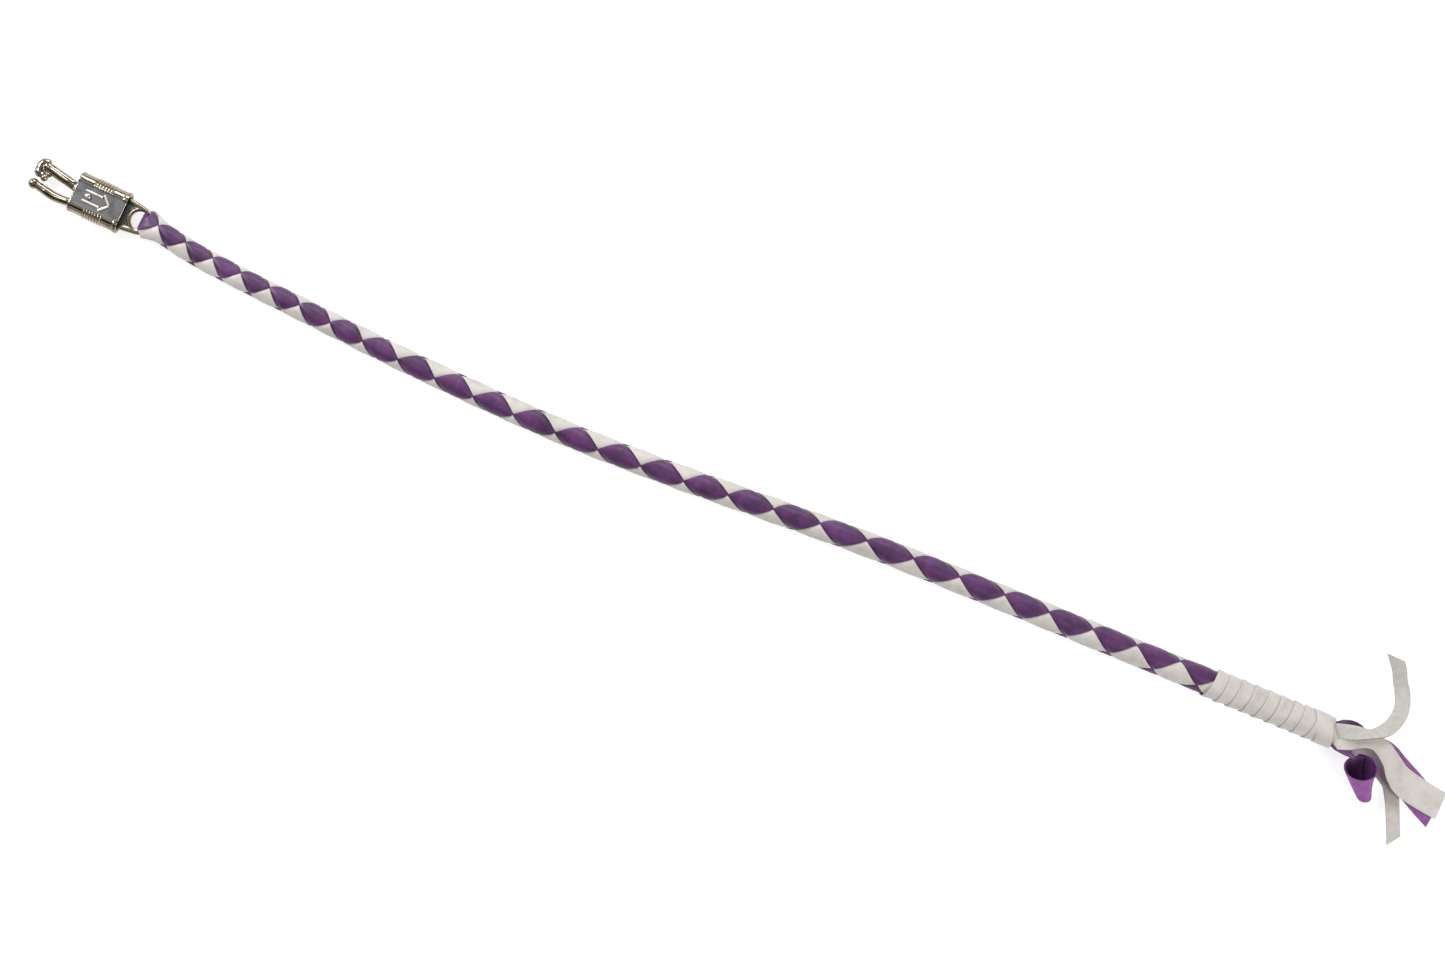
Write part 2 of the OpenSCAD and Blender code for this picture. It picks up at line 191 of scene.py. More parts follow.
def add_object(name, points, faces, materials, indices=None, smooth_angle=None):
    """A mesh object from points on the whip's own scale, in mm; nothing sinks into the floor."""
    mesh = bpy.data.meshes.new(name)
    resting = [Vector((p[0], p[1], max(p[2], 0.0))) for p in points]
    mesh.from_pydata([(p - ORIGIN) * MM for p in resting], [], faces)
    for m in materials:
        mesh.materials.append(m)
    if indices:
        mesh.polygons.foreach_set("material_index", indices)
    mesh.validate()
    obj = bpy.data.objects.new(name, mesh)
    bpy.context.scene.collection.objects.link(obj)
    tidy_normals(obj)
    shade(obj, smooth_angle)
    return obj


def tidy_normals(obj):
    """Turns every face outwards."""
    bm = bmesh.new()
    bm.from_mesh(obj.data)
    bmesh.ops.recalc_face_normals(bm, faces=bm.faces)
    bm.to_mesh(obj.data)
    bm.free()


def shade(obj, angle=None):
    """Smooth shading, with edges sharper than angle kept as edges."""
    mesh = obj.data
    mesh.shade_smooth()
    if angle is not None:
        mesh.set_sharp_from_angle(angle=radians(angle))


def apply_modifier(obj, kind, **settings):
    """Adds one modifier and bakes it into the mesh."""
    mod = obj.modifiers.new(kind.title(), kind)
    for key, value in settings.items():
        setattr(mod, key, value)
    deps = bpy.context.evaluated_depsgraph_get()
    mesh = bpy.data.meshes.new_from_object(obj.evaluated_get(deps))
    obj.modifiers.clear()
    old = obj.data
    obj.data = mesh
    mesh.name = obj.name
    bpy.data.meshes.remove(old)


# ---------------------------------------------------------------- materials

def new_material(name, color, roughness, metallic=0.0, **more):
    mat = bpy.data.materials.new(name)
    mat.use_nodes = True
    shader = mat.node_tree.nodes["Principled BSDF"]
    shader.inputs["Base Color"].default_value = (*color, 1)
    shader.inputs["Roughness"].default_value = roughness
    shader.inputs["Metallic"].default_value = metallic
    for key, value in more.items():
        shader.inputs[key.replace("_", " ")].default_value = value
    return mat


class Nodes:
    """Short calls for wiring one material's nodes."""

    def __init__(self, mat):
        self.tree = mat.node_tree
        self.shader = self.tree.nodes["Principled BSDF"]
        self.coords = self.add("ShaderNodeTexCoord").outputs["Object"]

    def add(self, kind, **settings):
        node = self.tree.nodes.new(kind)
        for key, value in settings.items():
            setattr(node, key, value)
        return node

    def link(self, a, b):
        self.tree.links.new(a, b)

    def noise(self, scale, detail=4.0, rough=0.55, stretch=None):
        tex = self.add("ShaderNodeTexNoise")
        tex.inputs["Scale"].default_value = scale
        tex.inputs["Detail"].default_value = detail
        tex.inputs["Roughness"].default_value = rough
        vector = self.coords
        if stretch:
            mapping = self.add("ShaderNodeMapping")
            mapping.inputs["Scale"].default_value = stretch
            self.link(vector, mapping.inputs["Vector"])
            vector = mapping.outputs["Vector"]
        self.link(vector, tex.inputs["Vector"])
        return tex.outputs["Fac"]

    def cells(self, scale):
        tex = self.add("ShaderNodeTexVoronoi", feature="DISTANCE_TO_EDGE")
        tex.inputs["Scale"].default_value = scale
        self.link(self.coords, tex.inputs["Vector"])
        return tex.outputs["Distance"]

    def ramp(self, fac, stops):
        node = self.add("ShaderNodeValToRGB")
        node.color_ramp.elements[0].position, node.color_ramp.elements[-1].position = 0, 1
        while len(node.color_ramp.elements) < len(stops):
            node.color_ramp.elements.new(0.5)
        for element, (place, color) in zip(node.color_ramp.elements, stops):
            element.position = place
            element.color = (*color, 1) if len(color) == 3 else color
        self.link(fac, node.inputs["Fac"])
        return node.outputs["Color"]

    def spread(self, fac, low, high, start=0.3, end=0.7):
        node = self.add("ShaderNodeMapRange")
        for key, value in (("From Min", start), ("From Max", end), ("To Min", low), ("To Max", high)):
            node.inputs[key].default_value = value
        self.link(fac, node.inputs["Value"])
        return node.outputs["Result"]

    def mix(self, fac, a, b, blend="MIX"):
        node = self.add("ShaderNodeMix", data_type="RGBA", blend_type=blend)
        for socket, value in ((node.inputs[0], fac), (node.inputs[6], a), (node.inputs[7], b)):
            if isinstance(value, bpy.types.NodeSocket):
                self.link(value, socket)
            else:
                socket.default_value = value if isinstance(value, (int, float)) else (*value, 1)
        return node.outputs[2]

    def bump(self, height, strength, distance, under=None):
        node = self.add("ShaderNodeBump")
        node.inputs["Strength"].default_value = strength
        node.inputs["Distance"].default_value = distance
        self.link(height, node.inputs["Height"])
        if under:
            self.link(under, node.inputs["Normal"])
        return node.outputs["Normal"]

    def finish(self, color=None, roughness=None, normal=None):
        for value, name in ((color, "Base Color"), (roughness, "Roughness"), (normal, "Normal")):
            if value:
                self.link(value, self.shader.inputs[name])


def grain_leather(name, dark, base, light, roughness=0.5, coat=0.06):
    """Smooth dyed lace leather: fine pores, faint creases and uneven dye."""
    mat = new_material(name, base, roughness, Coat_Weight=coat, Coat_Roughness=0.35)
    n = Nodes(mat)
    dye = n.ramp(n.noise(95, 6, 0.62), ((0.3, dark), (0.5, base), (0.72, light)))
    mottle = n.mix(n.spread(n.noise(900, 3), 0.0, 0.35), dye, dark)
    pores = n.cells(2600)
    creases = n.noise(420, 5, 0.7, (1, 2.4, 1))
    rough = n.spread(n.noise(700, 4), roughness - 0.09, roughness + 0.13)
    normal = n.bump(pores, 0.22, 0.0001, n.bump(creases, 0.3, 0.00025))
    n.finish(mottle, rough, normal)
    return mat


def flesh_leather(name, dark, base, light):
    """The napped back of the leather, and its cut edges."""
    mat = new_material(name, base, 0.88, Sheen_Weight=0.35, Sheen_Roughness=0.5)
    mat.node_tree.nodes["Principled BSDF"].inputs["Sheen Tint"].default_value = (*light, 1)
    n = Nodes(mat)
    color = n.ramp(n.noise(260, 8, 0.7), ((0.28, dark), (0.5, base), (0.75, light)))
    fibres = n.noise(2400, 4, 0.8, (1, 1.6, 1))
    color = n.mix(n.spread(fibres, 0.0, 0.4), color, dark)
    n.finish(color, n.spread(fibres, 0.8, 0.97), n.bump(fibres, 0.6, 0.0003))
    return mat


def plated_metal(name, base, dark, roughness, grain, polish):
    """Nickel plate on a die casting: soft orange peel, hairline scuffs and a dull film."""
    mat = new_material(name, base, roughness, 1.0)
    n = Nodes(mat)
    film = n.ramp(n.noise(130, 5, 0.6), ((0.3, dark), (0.52, base), (0.8, base)))
    scuffs = n.noise(900, 6, 0.75, (1, 9, 3))
    rough = n.spread(scuffs, roughness - polish, roughness + polish + 0.08)
    peel = n.noise(grain, 3, 0.5)
    n.finish(film, rough, n.bump(scuffs, 0.08, 0.0001, n.bump(peel, 0.3, 0.0002)))
    return mat


def cord_fabric(name, dark, base, light, scale):
    """Spun cord or waxed thread: slanted yarns with a little fuzz."""
    mat = new_material(name, base, 0.85, Sheen_Weight=0.2)
    n = Nodes(mat)
    wave = n.add("ShaderNodeTexWave", bands_direction="DIAGONAL")
    wave.inputs["Scale"].default_value = scale
    wave.inputs["Distortion"].default_value = 0.6
    n.link(n.coords, wave.inputs["Vector"])
    color = n.ramp(wave.outputs["Fac"], ((0.1, dark), (0.55, base), (0.9, light)))
    fuzz = n.noise(3000, 3, 0.7)
    n.finish(n.mix(n.spread(fuzz, 0, 0.3), color, dark), None,
             n.bump(wave.outputs["Fac"], 0.6, 0.0004, n.bump(fuzz, 0.3, 0.0002)))
    return mat


PURPLE = grain_leather("purple_grain", (0.042, 0.0115, 0.056), (0.098, 0.024, 0.122),
                       (0.15, 0.043, 0.18), 0.46, 0.1)
PURPLE_EDGE = flesh_leather("purple_cut_edge", (0.09, 0.03, 0.12), (0.17, 0.06, 0.21),
                            (0.25, 0.1, 0.3))
PURPLE_FLESH = flesh_leather("purple_flesh_side", (0.22, 0.07, 0.25), (0.33, 0.115, 0.37),
                             (0.42, 0.17, 0.46))
WHITE = grain_leather("white_grain", (0.52, 0.485, 0.45), (0.635, 0.6, 0.565),
                      (0.7, 0.67, 0.635), 0.56, 0.03)
WHITE_EDGE = flesh_leather("white_cut_edge", (0.2, 0.19, 0.18), (0.33, 0.31, 0.29),
                           (0.45, 0.43, 0.41))
WHITE_FLESH = flesh_leather("white_flesh_side", (0.46, 0.44, 0.4), (0.58, 0.56, 0.52),
                            (0.66, 0.64, 0.61))
NICKEL = plated_metal("polished_nickel", (0.385, 0.335, 0.262), (0.22, 0.18, 0.13), 0.13, 520, 0.05)
DULL_NICKEL = plated_metal("dull_nickel", (0.2, 0.205, 0.215), (0.11, 0.11, 0.115), 0.38, 900, 0.08)
WORN_NICKEL = plated_metal("worn_nickel", (0.8, 0.74, 0.64), (0.55, 0.48, 0.4), 0.42, 700, 0.08)
STEEL = plated_metal("bright_steel", (0.7, 0.68, 0.64), (0.5, 0.48, 0.44), 0.24, 800, 0.05)
WIRE = plated_metal("spring_wire", (0.42, 0.42, 0.43), (0.25, 0.25, 0.26), 0.3, 1500, 0.05)
CORE = cord_fabric("core_cord", (0.3, 0.25, 0.18), (0.52, 0.46, 0.35), (0.66, 0.6, 0.48), 450)
THREAD = cord_fabric("waxed_thread", (0.4, 0.37, 0.3), (0.66, 0.63, 0.55), (0.78, 0.75, 0.68), 900)
PURPLE_SET = (PURPLE, PURPLE_EDGE, PURPLE_FLESH)
WHITE_SET = (WHITE, WHITE_EDGE, WHITE_FLESH)


# ---------------------------------------------------------------- camera, floor and light

def image_axes():
    """Right and up of the view: the whip falls 25 degrees from left to right."""
    tilt = radians(25)
    return Vector((cos(tilt), sin(tilt), 0)), Vector((-sin(tilt), cos(tilt), 0))


def make_camera():
    """Straight down on the whip, from 1.7 m above its middle."""
    right, up = image_axes()
    height = 1.6985
    aim = Vector((-0.0127, -0.0284, 0))
    data = bpy.data.cameras.new("camera")
    data.lens = 61
    data.sensor_width = 36
    camera = bpy.data.objects.new("camera", data)
    bpy.context.scene.collection.objects.link(camera)
    back = right.cross(up)
    turn = Matrix((right, up, back)).transposed().to_4x4()
    camera.matrix_world = Matrix.Translation(aim + Vector((0, 0, height))) @ turn
    bpy.context.scene.camera = camera


def make_floor():
    mesh = bpy.data.meshes.new("floor")
    h = FLOOR_SIZE / 2
    mesh.from_pydata([(-h, -h, 0), (h, -h, 0), (h, h, 0), (-h, h, 0)], [], [(0, 1, 2, 3)])
    floor = bpy.data.objects.new("floor", mesh)
    bpy.context.scene.collection.objects.link(floor)
    mat = new_material("floor_paper", (0.35, 0.35, 0.35), 0.9, Emission_Strength=0.78)
    mat.node_tree.nodes["Principled BSDF"].inputs["Emission Color"].default_value = (1, 1, 1, 1)
    mesh.materials.append(mat)


def area_light(name, place, size, power):
    """A soft box aimed at the middle of the whip."""
    data = bpy.data.lights.new(name, "AREA")
    data.shape = "RECTANGLE"
    data.size, data.size_y = size
    data.energy = power
    light = bpy.data.objects.new(name, data)
    light.location = place
    light.rotation_euler = (-place).to_track_quat("-Z", "Y").to_euler()
    bpy.context.scene.collection.objects.link(light)


def make_lights():
    """Soft boxes in a dark room with pale bands, which the plated metal mirrors."""
    right, up = image_axes()
    area_light("key", -1.7 * right + 1.3 * up + 1.5 * UP, (0.9, 1.3), 46)
    area_light("fill", 1.7 * right - 1.2 * up + 1.5 * UP, (1.1, 1.1), 30)
    area_light("back", 0.3 * right + 1.9 * up + 1.1 * UP, (1.6, 0.6), 18)
    world = bpy.data.worlds.new("studio")
    bpy.context.scene.world = world
    world.use_nodes = True
    tree = world.node_tree
    coords = tree.nodes.new("ShaderNodeTexCoord")
    split = tree.nodes.new("ShaderNodeSeparateXYZ")
    bands = tree.nodes.new("ShaderNodeValToRGB")
    # Brightness of the room from the horizon up to straight overhead
    stops = ((0.0, 0.01), (0.16, 0.02), (0.28, 0.75), (0.38, 0.8), (0.48, 0.015), (0.74, 0.02),
             (0.86, 0.45), (0.93, 0.6), (0.985, 0.3), (1.0, 0.25))
    while len(bands.color_ramp.elements) < len(stops):
        bands.color_ramp.elements.new(0.5)
    for element, (place, value) in zip(bands.color_ramp.elements, stops):
        element.position = place
        element.color = (value, value * 0.975, value * 0.94, 1)
    tree.links.new(coords.outputs["Generated"], split.inputs["Vector"])
    tree.links.new(split.outputs["Z"], bands.inputs["Fac"])
    background = tree.nodes["Background"]
    tree.links.new(bands.outputs["Color"], background.inputs["Color"])
    background.inputs["Strength"].default_value = 1.0
    bpy.context.scene.view_settings.view_transform = "Standard"


# ---------------------------------------------------------------- leather strips

# Places across a strip, from edge to edge, and the share of its thickness there
ACROSS = (-1, -0.992, -0.95, -0.75, -0.4, 0, 0.4, 0.75, 0.95, 0.992, 1)
FULLNESS = (0.55, 0.82, 1, 1, 1, 1, 1, 1, 1, 0.82, 0.55)
# Places of the three finishes in a lace's materials
GRAIN, EDGE, FLESH = range(3)


def strip_ring(place, flip=1):
    """One ring: place(u, h) is the point at u across and h through the thickness."""
    outer = [place(u * flip, f) for u, f in zip(ACROSS, FULLNESS)]
    inner = [place(-u * flip, -f) for u, f in zip(ACROSS, FULLNESS)]
    return outer + inner


def strip(name, rings, materials):
    """A closed strip through rings, with its grain side, cut edges and flesh side."""
    m, k = len(rings[0]), len(ACROSS)
    points = [p for ring in rings for p in ring]
    faces, kinds = [], []
    for i in range(len(rings) - 1):
        for j in range(m):
            a, b = i * m + j, i * m + (j + 1) % m
            faces.append((a, b, b + m, a + m))
            at_edge = j in (0, k - 2, k - 1, k, m - 2, m - 1)
            kinds.append(EDGE if at_edge else (GRAIN if j < k else FLESH))
    for start, order in ((0, -1), (len(points) - m, 1)):
        for j in range(k - 1):
            quad = [start + j, start + j + 1, start + m - 2 - j, start + m - 1 - j]
            faces.append(tuple(quad[::order]))
            kinds.append(EDGE)
    return add_object(name, points, faces, materials, kinds, 50)


def flat_place(c, heading, turn, hw, cup=0.0, lean=0.0):
    """Place function of a flat lace at c, turned about its heading from face up."""
    h = heading.normalized()
    side = UP.cross(h).normalized()
    up = h.cross(side)
    t = radians(turn)
    w = cos(t) * side - sin(t) * up
    n = cos(t) * up + sin(t) * side

    def place(u, thick):
        ripple = 0.12 * noise.noise(0.11 * c + 0.6 * u * w)
        nick = 1 + 0.012 * noise.noise(0.5 * c + 7 * w)
        return (c + w * (u * hw * nick) + n * (thick * LACE_T / 2 + cup * u * u + ripple)
                + h * (lean * u * hw))
    return place


def tail_rings(knots, flip, step=1.2, cup=0.0, lean=0.0):
    """Rings along a tail through knots of (x, y, z, turn, half width)."""
    line = spline(knots, step)
    rings = []
    for i, p in enumerate(line):
        before, after = line[max(i - 1, 0)], line[min(i + 1, len(line) - 1)]
        heading = Vector(after[:3]) - Vector(before[:3])
        near_end = smooth(i, len(line) - 9, len(line) - 1)
        rings.append(strip_ring(
            flat_place(Vector(p[:3]), heading, p[3], p[4], cup, lean * near_end), flip))
    return rings


# ---------------------------------------------------------------- the four-strand braid

# Half of a strand's width, as a share of its cell: the purple laces are a little wider
PURPLE_FILL, WHITE_FILL = 0.525, 0.47
# How far a strand rises and sinks as it weaves, how much its middle then stands up, and how far
# the braid is drawn in as a whole
LIFT, CROWN, DRAWN_IN = 0.85, 0.62, 0.25
# Spacing of the crossings before the first one, and the turns at which the braid starts and ends
FIRST_SPACING = 22
FIRST_TURN, LAST_TURN = -0.75, 26.75


def braid_at(n):
    """Where turn n of the braid lies, counted from the first crossing on top."""
    m = n + 0.5
    if m < 0:
        return CROSSINGS[0][1] + FIRST_SPACING * m
    return curve(m, CROSSINGS)


def weave(c):
    """1 where a strand lies over its neighbour, -1 where it lies under, c being in cells."""
    return clamp(2.6 * cos(pi * c), -1, 1)


def strand_place(k, c, purple):
    """Place function of strand k where it is c half turns along, in the braid's cells."""
    over = (1 if k % 2 == 0 else -1) * (1 if purple else -1) * weave(c)
    fill = PURPLE_FILL if purple else WHITE_FILL

    def place(u, thick):
        unevenness = noise.noise(Vector((c * 2.1, k * 7.3, u * 3 + purple)))
        side = k + u * fill * (1 + 0.018 * unevenness)
        a, b = (side, c) if purple else (c, side)
        x = braid_at((b - a) / 2)
        crown = CROWN * max(over, 0) * cos(pi * u * 0.46) * abs(cos(pi * c)) ** 0.8
        pull = 0.09 * noise.noise(Vector((c * 1.3, u * 1.1, k * 5 + 11 * purple)))
        r = lookup(x, RADIUS) - LACE_T / 2 - LIFT + LIFT * over + crown + pull - DRAWN_IN
        return around(x, lookup(x, TWIST) + 90 * (a + b), r + thick * LACE_T / 2)
    return place


def leg_place(x, turn, r, spread):
    """Place function of a strand that lies beside the others under the wrap."""
    return lambda u, thick: around(x, turn + u * spread, r + thick * LACE_T / 2)


def fold_place(u_turn, outer):
    """Place function on the fold through the eye, from its top mouth to its low one."""
    t = radians(u_turn)
    reach, rise, back, shift = (5.2, 4.3, 87.6, 1.1) if outer else (3.4, 3.0, 87.2, -0.9)
    c = Vector((back - reach * sin(t), shift * cos(t), SNAP_Z + rise * cos(t)))
    n = Vector((-sin(t), 0, cos(t)))
    side = Vector((0.16 * cos(t), 1, 0)).normalized()
    hw = 5.6 + 1.5 * abs(cos(t))
    return lambda u, thick: c + side * (u * hw) + n * (thick * LACE_T / 2 - 0.6 * u * u * abs(cos(t)))


def blend(ring_a, ring_b, bulge):
    """Rings between two rings, bulged away from the snap's middle plane."""
    count = 7
    out = []
    for i in range(1, count + 1):
        share = i / (count + 1)
        lift = bulge * sin(pi * share)
        out.append([p.lerp(q, share) + UP * (lift if p.z > SNAP_Z else -lift)
                    for p, q in zip(ring_a, ring_b)])
    return out


def lace_rings(purple, tail_a, tail_b):
    """A whole lace: tail, strand, fold through the eye, strand and tail."""
    rings_a_cell = 14
    sign = 1 if purple else -1
    legs = (906, 920, 935, 950, 965, 975)
    cells = round((LAST_TURN - FIRST_TURN) * 2)

    def strand(k, flip):
        start = k + sign * 2 * FIRST_TURN
        turns = [start + sign * i / rings_a_cell for i in range(cells * rings_a_cell + 1)]
        return [strip_ring(strand_place(k, c, purple), flip) for c in turns]

    def ends(k, flip):
        turn = 180 * k + sign * 180 * LAST_TURN
        return [strip_ring(leg_place(x, lookup(x, TWIST) + turn,
                                     lookup(x, RADIUS) - 1.5 * LACE_T, 42), flip) for x in legs]

    top, low = strand(1, 1), strand(0, -1)
    fold = [strip_ring(fold_place(t, purple), 1) for t in range(34, 147, 8)]
    bulge = 1.7 if purple else 0.1
    return (tail_a[::-1] + ends(1, 1)[::-1] + top[::-1] + blend(top[0], fold[0], bulge) + fold
            + blend(fold[-1], low[0], bulge) + low + ends(0, -1) + tail_b)


# Knots of the loose tails: x, y, z, turn about the heading and half width. A turn of 180 is
# flesh side up
WHITE_TOP_TAIL = ((981, 22.5, 17.5, 0, 4.2), (988, 25.4, 18.2, 5, 4.1), (996, 31.2, 18.6, 8, 4.6),
                  (1004, 33.8, 18.8, 5, 5.4), (1011, 32.2, 18.2, 0, 6.0), (1016, 29.4, 17, 0, 6.2),
                  (1021.6, 25.9, 15, 0, 6.8), (1028, 21, 12, 0, 8.4), (1036, 17.3, 9.3, 0, 9.8),
                  (1046, 15.3, 7.6, 0, 10), (1057, 14, 7, 0, 9.9), (1066.5, 13.4, 6.8, 0, 9.9))
WHITE_LOW_TAIL = ((981, 25, 2.4, 180, 5), (989, 23, 1.6, 180, 5.5), (1000, 23.5, 1.1, 180, 6.4),
                  (1012, 21.5, 1, 180, 6.2), (1021.6, 17.8, 1.4, 180, 6),
                  (1029.6, 12.8, 2.2, 180, 5.8), (1034, 5.4, 3.2, 180, 5.2),
                  (1037.5, -1.4, 4.2, 180, 4.9), (1040.8, -8.4, 5.2, 180, 4.8),
                  (1044, -15.4, 6, 180, 4.8), (1047.2, -22.2, 6.6, 180, 4.8))
PURPLE_TAIL = ((979, 34.6, 15.5, 30, 4.5), (985, 36, 15.6, 14, 5.2), (991, 35.6, 15, 14, 5.4),
               (997, 34, 14, 60, 5.2), (1003, 33.4, 12.4, 125, 5.2), (1009, 33.4, 11, 168, 5.8),
               (1017, 31.4, 9.6, 180, 7.2), (1026.6, 26.2, 8, 180, 8.2), (1038, 19.6, 6.2, 180, 10),
               (1049, 14, 4.6, 180, 10.6), (1065.4, 6.9, 3, 180, 10.6))
CURL_LEAD = ((981, 18.6, 11.5, 262, 4.6), (988, 18.9, 11.6, 255, 5.4), (995, 19.8, 11.8, 250, 6.4))


def curl_rings():
    """The purple tail that curls into a cone: wide at its upper rim, narrow at the bottom."""
    centre = Vector((1004.6, 8, 13.6))
    axis = Vector((-0.36, 0.62, 0.70)).normalized()
    e1 = Vector((0.88, 0.48, 0)).normalized()
    e2 = axis.cross(e1)
    # The lower rim is pulled out towards the front
    pull = Vector((8.2, -5.8, -1.2))
    rings = tail_rings(CURL_LEAD, 1)
    for i in range(95):
        phi = radians(80 - 4 * i)

        def place(u, thick, n=cos(phi) * e1 + sin(phi) * e2, tighter=1 - 0.0021 * i):
            r = (8.6 + 3.7 * u) * tighter
            return (centre + n * (r - thick * LACE_T / 2) + axis * (u * 9.2)
                    + pull * ((1 - u) / 2)**2)
        rings.append(strip_ring(place))
    return rings


def make_laces():
    purple = strip("purple_lace_braided",
                   lace_rings(True, curl_rings(), tail_rings(PURPLE_TAIL, -1, lean=0.35)),
                   PURPLE_SET)
    white = strip("white_lace_braided",
                  lace_rings(False, tail_rings(WHITE_TOP_TAIL, 1, cup=0.25, lean=-0.08),
                             tail_rings(WHITE_LOW_TAIL, -1, lean=0.6)),
                  WHITE_SET)
    stand_in(purple, "purple_lace", "root")
    stand_in(white, "white_lace", "root")
    return purple, white


# ---------------------------------------------------------------- the wrap

WRAP_END = ((964, 27.5, 14.5, 180, 4.4), (974, 29.4, 16.2, 180, 5.0), (982, 32, 19.4, 184, 5.2),
            (990, 34.8, 21.6, 205, 5.0), (997, 37.4, 22.2, 232, 4.6), (1003, 41.2, 21.2, 225, 4.9),
            (1009, 48, 17.5, 205, 5.2), (1012.6, 57, 12.5, 190, 5.3), (1012.8, 65, 8.6, 185, 5.3),
            (1009.9, 72.4, 7.0, 190, 5.2), (1004.6, 80, 7.6, 205, 5.0), (1000.4, 86.4, 9.6, 200, 5.0),
            (994, 93, 12.6, 190, 5.1))
# Half the wrap lace's width, and the angle at which it starts
WRAP_HW = 6.2
WRAP_PHASE = 190


def wrap_place(turn):
    """Place function on the shingled helix, turn being in whole turns from its start."""
    angle = WRAP_PHASE + 360 * turn
    slip = 1.6 * noise.noise(Vector((turn * 0.7, 3.1, 0)))
    # The last turn goes square round the bundle, over the one before
    square = WRAP_TURNS - 0.9
    doubled = smooth(turn, square - 0.1, square + 0.25)
    slant = doubled * (2 + 3.4 * sin(radians(angle)))
    centre = WRAP_X0 + 5.2 + WRAP_PITCH * min(turn, square) + slip - slant

    def place(u, thick):
        x = centre + u * WRAP_HW
        # The trailing edge climbs over the turn before; the first turn lies on the braid
        over = max(smooth(-u, 0.25, 0.62) * min(1, turn + 0.35), doubled)
        bulge = 0.2 * (1 - u * u)
        wobble = 0.22 * noise.noise(Vector((turn * 1.9, u * 1.4, 5)))
        r = WRAP_R + LACE_T / 2 + over * LACE_T * 0.68 - 0.36 + bulge + wobble
        return around(x, angle, r + thick * LACE_T / 2)
    return place


def make_wrap():
    steps = 48
    rings = [strip_ring(wrap_place(i / steps)) for i in range(round(WRAP_TURNS * steps) + 1)]
    rings += tail_rings(WRAP_END, 1, lean=-0.95)
    wrap = strip("wrap_lace_wound", rings, WHITE_SET)
    stand_in(wrap, "wrap_lace", "root")
    return wrap


# ---------------------------------------------------------------- core and binding

CORE_X0, CORE_X1, CORE_R = 104, 968, 3.5


def make_core():
    """The cord inside the braid, with slanted yarns and rounded ends."""
    steps, sides = 900, 28
    yarns, yarn_slant, yarn_depth = 4, 0.9, 0.28
    points = []
    for i in range(steps + 1):
        x = CORE_X0 + (CORE_X1 - CORE_X0) * i / steps
        taper = sqrt(clamp(min(i, steps - i) / 3, 0.04, 1))
        for j in range(sides):
            t = 360 * j / sides
            around_it, along = radians(yarns * t), yarn_slant * x
            yarn = abs(sin(around_it + along)) * abs(sin(around_it - along))
            points.append(around(x, t, (CORE_R - yarn_depth + yarn_depth * yarn) * taper))
    core = add_object("core_rope_yarns", points, tube_faces(steps + 1, sides), (CORE,),
                      smooth_angle=60)
    stand_in(core, "core_rope", "root")
    return core


def tube(name, line, wire, sides, material, normals):
    """A round wire along line; normals gives a direction across it at each point."""
    points = []
    for i, (c, n) in enumerate(zip(line, normals)):
        heading = (line[min(i + 1, len(line) - 1)] - line[max(i - 1, 0)]).normalized()
        side = heading.cross(n).normalized()
        up = side.cross(heading)
        r = wire * (0.55 if i in (0, len(line) - 1) else 1)
        points += [c + r * (u * up + v * side) for u, v in circle(sides)]
    return add_object(name, points, tube_faces(len(line), sides), (material,), smooth_angle=60)


def lathe(name, centre, profile, material):
    """A turned piece about +Z through centre; profile is (radius, height) from end to end."""
    sides = 64
    points = [centre + Vector((r * u, r * v, z)) for r, z in profile for u, v in circle(sides)]
    return add_object(name, points, tube_faces(len(profile), sides), (material,), smooth_angle=35)


def make_spring():
    """The compression spring in the spine's slot, which the sleeve shortens as it slides; here it is
    built at one fixed length.
    """
    x0, x1, radius, wire, turns = 45.6, 63.5, 2.2, 0.35, 8
    steps = turns * 36
    line, out = [], []
    for i in range(steps + 1):
        t = 2 * pi * turns * i / steps
        # The end turns are closed up, as on a ground spring
        share = i / steps
        flat = 0.06
        along = clamp((share - flat) / (1 - 2 * flat), 0, 1)
        x = x0 + wire + (x1 - x0 - 2 * wire) * (0.94 * along + 0.06 * share)
        n = Vector((0, cos(t), sin(t)))
        out.append(n)
        line.append(Vector((x, 0, SNAP_Z)) + n * radius)
    spring = tube("sleeve_spring_coil", line, wire, 12, WIRE, out)
    stand_in(spring, "sleeve_spring", "root")
    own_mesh(spring)


def make_binding():
    """Tight turns of waxed thread round the strands, hidden under the wrap."""
    x0, turns, pitch, wire = 925, 12, 0.98, 0.4
    steps = turns * 40
    line, out = [], []
    for i in range(steps + 1):
        x = x0 + pitch * turns * i / steps
        r = lookup(x, RADIUS) - LACE_T + wire + 0.05
        point = around(x, 360 * turns * i / steps, r)
        line.append(point)
        out.append((point - middle(x)).normalized())
    thread = tube("binding_thread_turns", line, wire, 10, THREAD, out)
    stand_in(thread, "binding_thread", "root")


def make_rivet_and_pin():
    dome = [(2.3 * cos(radians(a)), 7.05 + 1.35 * sin(radians(a))) for a in range(0, 90, 9)]
    shank = [(1.2, -6.7), (1.6, -6.4), (1.6, 6.98), (2.2, 6.98)]
    rivet = lathe("sleeve_rivet_domed", Vector((RIVET_X, 0, SNAP_Z)), shank + dome + [(0.05, 8.4)], STEEL)
    stand_in(rivet, "sleeve_rivet", "sleeve")
    pin = lathe("jaw_pivot_pin_peened", PIVOT + Vector((0, 0, SNAP_Z)),
                [(0.5, -4.2), (1.25, -4.15), (1.49, -3.9), (1.49, 3.9), (1.25, 4.15), (0.5, 4.2)],
                STEEL)
    stand_in(pin, "jaw_pivot_pin", "root")


# ---------------------------------------------------------------- the cast snap

METALS = (NICKEL, DULL_NICKEL, WORN_NICKEL)
BRIGHT, DULL, WORN = range(3)


